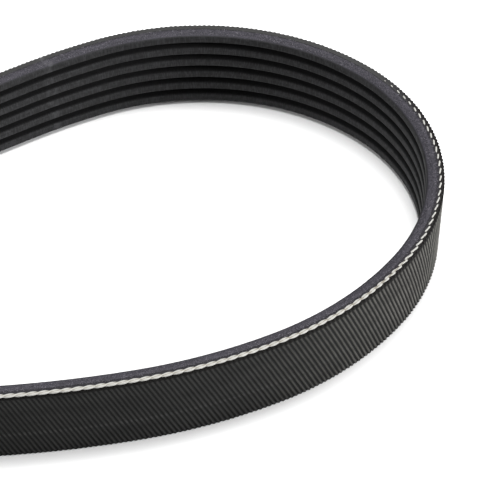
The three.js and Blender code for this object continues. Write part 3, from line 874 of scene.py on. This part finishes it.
# %% Modifier tree: plies of the bared cord, eased to the cut
place = add("GeometryNodeInputPosition")[0]
height = add("ShaderNodeSeparateXYZ", {0: place})["Z"]
level = add(KEPT, {"Name": "cut level"})
proud = add(MATH, {0: height, 1: level[0]}, operation="SUBTRACT")
proud = add(MATH, {0: proud[0], 1: 0.0}, operation="MAXIMUM")[0]
ratio = add(MATH, {0: proud, 1: take["Stand"]}, operation="DIVIDE")
fade = add(MATH, {0: ratio[0], 1: -1.0}, operation="MULTIPLY")
fade = add(MATH, {0: fade[0]}, operation="EXPONENT")
eased = add(MATH, {0: 1.0, 1: fade[0]}, operation="SUBTRACT")
eased = add(MATH, {0: eased[0], 1: take["Stand"]}, operation="MULTIPLY")
drop = add(MATH, {0: eased[0], 1: proud}, operation="SUBTRACT")
drop = add("ShaderNodeCombineXYZ", {"Z": drop[0]})
distances = []
for name in ("own", "other"):
    middle = add(KEPT, {"Name": name}, data_type="FLOAT_VECTOR")
    distance = add(VECTOR_MATH, {0: place, 1: middle[0]}, operation="DISTANCE")
    distances.append(distance["Value"])
from_seam = add(MATH, {0: distances[1], 1: distances[0]}, operation="SUBTRACT")
marked = add(STORE, {"Geometry": joined.outputs[0], "Name": "from seam", "Value": from_seam[0]},
             domain="POINT")
round_place = add(KEPT, {"Name": "around"}, data_type="FLOAT_VECTOR")
round_place = add("ShaderNodeSeparateXYZ", {0: round_place[0]})
ply_length = add(KEPT, {"Name": "length"})
filament = add("ShaderNodeCombineXYZ", {"X": round_place["X"], "Y": round_place["Y"], "Z": ply_length[0]})
streaked = add(STORE, {"Geometry": marked[0], "Name": "ply", "Value": filament[0]},
               data_type="FLOAT_VECTOR", domain="POINT")
flattened = add("GeometryNodeSetPosition", {"Geometry": streaked[0], "Offset": drop[0]})
smooth = add("GeometryNodeSetShadeSmooth", {0: flattened[0], "Shade Smooth": True})
end_tree(add, smooth[0], take["Material"])
print("plies of the bared cord:", len(cord_tree.nodes), "nodes")

# %% [markdown]
# The twist makes one turn in 5.2 mm. Bared yarn swells, so the plies together are a little thicker here than
# the cord is inside the belt. The heights are those of its middle over the cut.

# %% Make the bared cord
CORD_STATION = 0.3 * mm
cord = piece_from("bared_cord_plies", path_mesh, cord_tree, {
    "Start": first_bared - bared_length, "Bared Length": bared_length, "Loop Length": LOOP_LENGTH,
    "Lean": WALL_FLARE, "Cord Radius": 0.58 * mm, "Ply Radius": 0.37 * mm, "Last Ply Radius": 0.2 * mm,
    "Last Sway": 0.45, "Lay": 5.2 * mm, "First Height": -1.2 * mm, "Steady Height": 0.07 * mm,
    "Sliced Height": 0.28 * mm, "Last Rise": 0.4 * mm, "First Depth": 0.5 * mm,
    "Last Depth": CORD_DEPTH + 0.3 * mm, "Edge Height": BELT_WIDTH, "Stand": 0.1 * mm,
    "Stations": round(bared_length / CORD_STATION), "Material": polyester})

# %% [markdown]
# ## Chopped fibres on the cut edge
# The rubber is filled with short chopped fibres, and the knife drags some of them out, so the edge has a
# sparse nap that catches the light. They could be hair, but hair isn't a mesh. Points are scattered in belt
# coordinates with a fixed seed, and a three-sided rod of a few faces lies on each one, turned at random.
# Real fibres are about 0.02 mm thick, and these are 0.06 mm, which is as thin as shows in the render.

# %% Modifier tree: chopped fibres
LEAST_TILT, MOST_TILT = math.radians(66), math.radians(88)  # a rod stands upright before it is turned
ROD_SIDES = 3
fibre_tree, add, take = start_tree(
    "chopped fibres",
    {"Path": "Geometry", "Count": "Int", "Seed": "Int", "Loop Length": "Float", "Lean": "Float",
     "Nearest Depth": "Float", "Farthest Depth": "Float", "Edge Depth": "Float", "Edge Height": "Float",
     "Flank Slope": "Float", "Fibre Radius": "Float", "Shortest": "Float", "Longest": "Float",
     "Material": "Material"},
    {"Mesh": "Geometry"})
path = add("GeometryNodeMeshToCurve", {"Mesh": take["Path"]})
seeds = [add(MATH, {0: take["Seed"], 1: n}, operation="ADD")[0] for n in range(4)]
spot = add("FunctionNodeRandomValue", {2: 0.0, 3: take["Loop Length"], 8: seeds[0]})[1]
spot_depth = add("FunctionNodeRandomValue",
                 {2: take["Nearest Depth"], 3: take["Farthest Depth"], 8: seeds[1]})[1]
past_edge = add(MATH, {0: spot_depth, 1: take["Edge Depth"]}, operation="SUBTRACT")
past_edge = add(MATH, {0: past_edge[0], 1: 0.0}, operation="MAXIMUM")
sunk = add(MATH, {0: past_edge[0], 1: take["Flank Slope"]}, operation="MULTIPLY")
spot_height = add(MATH, {0: take["Edge Height"], 1: sunk[0]}, operation="SUBTRACT")
placed = add("GeometryNodeGroup", {"Path": path[0], "Along": spot, "Depth": spot_depth,
                                   "Height": spot_height[0], "Lean": take["Lean"],
                                   "Loop Length": take["Loop Length"]}, node_tree=place_tree)
spots = add("GeometryNodePoints", {"Count": take["Count"], "Position": placed[0]})
rod = add("GeometryNodeMeshCylinder", {"Vertices": ROD_SIDES, "Radius": take["Fibre Radius"], "Depth": 1.0})
turn = add("FunctionNodeRandomValue", {0: (LEAST_TILT, 0.0, 0.0), 1: (MOST_TILT, 0.0, math.tau),
                                       8: seeds[2]}, data_type="FLOAT_VECTOR")[0]
fibre_length = add("FunctionNodeRandomValue", {2: take["Shortest"], 3: take["Longest"], 8: seeds[3]})[1]
stretch = add("ShaderNodeCombineXYZ", {"X": 1.0, "Y": 1.0, "Z": fibre_length})
strewn = add("GeometryNodeInstanceOnPoints",
             {"Points": spots[0], "Instance": rod["Mesh"], "Rotation": turn, "Scale": stretch[0]})
end_tree(add, strewn[0], take["Material"])
print("chopped fibres:", len(fibre_tree.nodes), "nodes")

# %% [markdown]
# The fibres are chopped polyamide, dulled by rubber dust to greys that change every millimetre or so.

# %% Material and mesh of the chopped fibres
fibre_stuff, add = start_material("chopped_polyamide_fibre")
surface = add("ShaderNodeTexCoord")["Object"]
scaled = add(VECTOR_MATH, {0: surface, 1: repeats(0.9, 0.9, 0.9)}, operation="MULTIPLY")
shade = add("ShaderNodeTexNoise", {"Vector": scaled[0], "Scale": 1.0, "Detail": 1.0})["Fac"]
shade = add(MAP_RANGE, {"Value": shade, "From Min": 0.35, "From Max": 0.65})[0]
fibre_tone = add(MIX, {0: shade, 6: hex_colour("#343238"), 7: hex_colour("#6f6c74")}, data_type="RGBA")[2]
shader = add("ShaderNodeBsdfPrincipled",
             {"Base Color": fibre_tone, "Roughness": 0.5, "IOR": 1.53, "Specular IOR Level": 0.4})[0]
add("ShaderNodeOutputMaterial", {"Surface": shader})
nap = piece_from("chopped_fibre_nap", path_mesh, fibre_tree, {
    "Count": 8000, "Seed": 7, "Loop Length": LOOP_LENGTH, "Lean": WALL_FLARE,
    "Nearest Depth": CORD_DEPTH + 0.7 * mm, "Farthest Depth": BELT_THICKNESS - 0.6 * mm,
    "Edge Depth": EDGE_DEPTH, "Edge Height": BELT_WIDTH, "Flank Slope": math.tan(GROOVE_HALF_ANGLE),
    "Fibre Radius": 0.03 * mm, "Shortest": 0.2 * mm, "Longest": 0.55 * mm, "Material": fibre_stuff})

# %% [markdown]
# ## Seat every piece on the frame
# The belt is one body with no joints, so each skin rides on the root and stands for its solid. The fibres
# are part of the rubber, so they ride on the root too.

# %% Ride and replace
for piece, node in [(body, "ribbed_rubber"), (back, "fabric_back"), (cord, "edge_cord")]:
    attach(piece, "root")
    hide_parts(node)
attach(nap, "root")

# %% [markdown]
# ## Floor and light
# A product photograph on white: one soft light overhead that just blows the floor out to white and leaves a
# tight shadow at the foot, whose width follows the light's size. A low light from the right rakes over the
# ridges of the wide end, so their contrast grows to that side, and a weaker one from the left lifts the ribs
# inside it.

# %% Floor
FLOOR_HALF = 1.5
floor_mesh = bpy.data.meshes.new("floor")
corners = [(x * FLOOR_HALF, y * FLOOR_HALF, 0.0) for x, y in ((-1, -1), (1, -1), (1, 1), (-1, 1))]
floor_mesh.from_pydata(corners, [], [(0, 1, 2, 3)])
floor = bpy.data.objects.new("floor", floor_mesh)
bpy.context.scene.collection.objects.link(floor)
paper, add = start_material("white_paper_sweep")
shader = add("ShaderNodeBsdfPrincipled", {"Base Color": hex_colour("#f4f4f4"), "Roughness": 0.9})[0]
add("ShaderNodeOutputMaterial", {"Surface": shader})
floor_mesh.materials.append(paper)
print("floor:", 2 * FLOOR_HALF, "m across")

# %% Lights
# The ridges' contrast at the wide end comes from the right rake and also from painted reflection and shade in
# the fabric's colour.
for name, place, size, power in [("overhead_softbox", (0.33, 0.42, 3.0), 1.4, 113.0),
                                 ("right_rake", (0.9, -0.2, 0.28), 0.3, 12.0),
                                 ("left_fill", (-1.2, -0.2, 0.5), 0.6, 7.5)]:
    data = bpy.data.lights.new(name, "AREA")
    data.size = size
    data.energy = power
    light = bpy.data.objects.new(name, data)
    bpy.context.scene.collection.objects.link(light)
    light.location = place
    light.rotation_euler = (-light.location).to_track_quat("-Z", "Y").to_euler()
world = bpy.data.worlds.new("studio")
world.use_nodes = True
world.node_tree.nodes.clear()
add = partial(add_node, world.node_tree)
sky = add("ShaderNodeBackground", {"Color": hex_colour("#ffffff"), "Strength": 0.2})
add("ShaderNodeOutputWorld", {"Surface": sky[0]})
bpy.context.scene.world = world
bpy.context.scene.view_settings.view_transform = "Standard"

# %% [markdown]
# ## Camera
# The camera is nearly a metre off with a long lens, looks down at the belt and is turned a little about its
# own axis. Euler angles would mix the drop and the roll, so its three axes are worked out and set directly.

# %% Camera at the photograph's angle
AIM = Vector((55.9 * mm, 6.8 * mm, 0.0))
CAMERA_DISTANCE = 0.9816
CAMERA_DROP = math.radians(42.75)
CAMERA_ROLL = math.radians(2.72)
camera_data = bpy.data.cameras.new("camera")
camera_data.lens = 300
camera_data.sensor_width = 36
camera = bpy.data.objects.new("camera", camera_data)
bpy.context.scene.collection.objects.link(camera)
look = Vector((0, math.cos(CAMERA_DROP), -math.sin(CAMERA_DROP)))
level_up = Vector((0, math.sin(CAMERA_DROP), math.cos(CAMERA_DROP)))
level_right = Vector((1, 0, 0))
right = level_right * math.cos(CAMERA_ROLL) - level_up * math.sin(CAMERA_ROLL)
up = level_up * math.cos(CAMERA_ROLL) + level_right * math.sin(CAMERA_ROLL)
turned = Matrix((right, up, -look)).transposed().to_4x4()
camera.matrix_world = Matrix.Translation(AIM - look * CAMERA_DISTANCE) @ turned
bpy.context.scene.camera = camera
print("camera at", [round(c, 3) for c in camera.location])
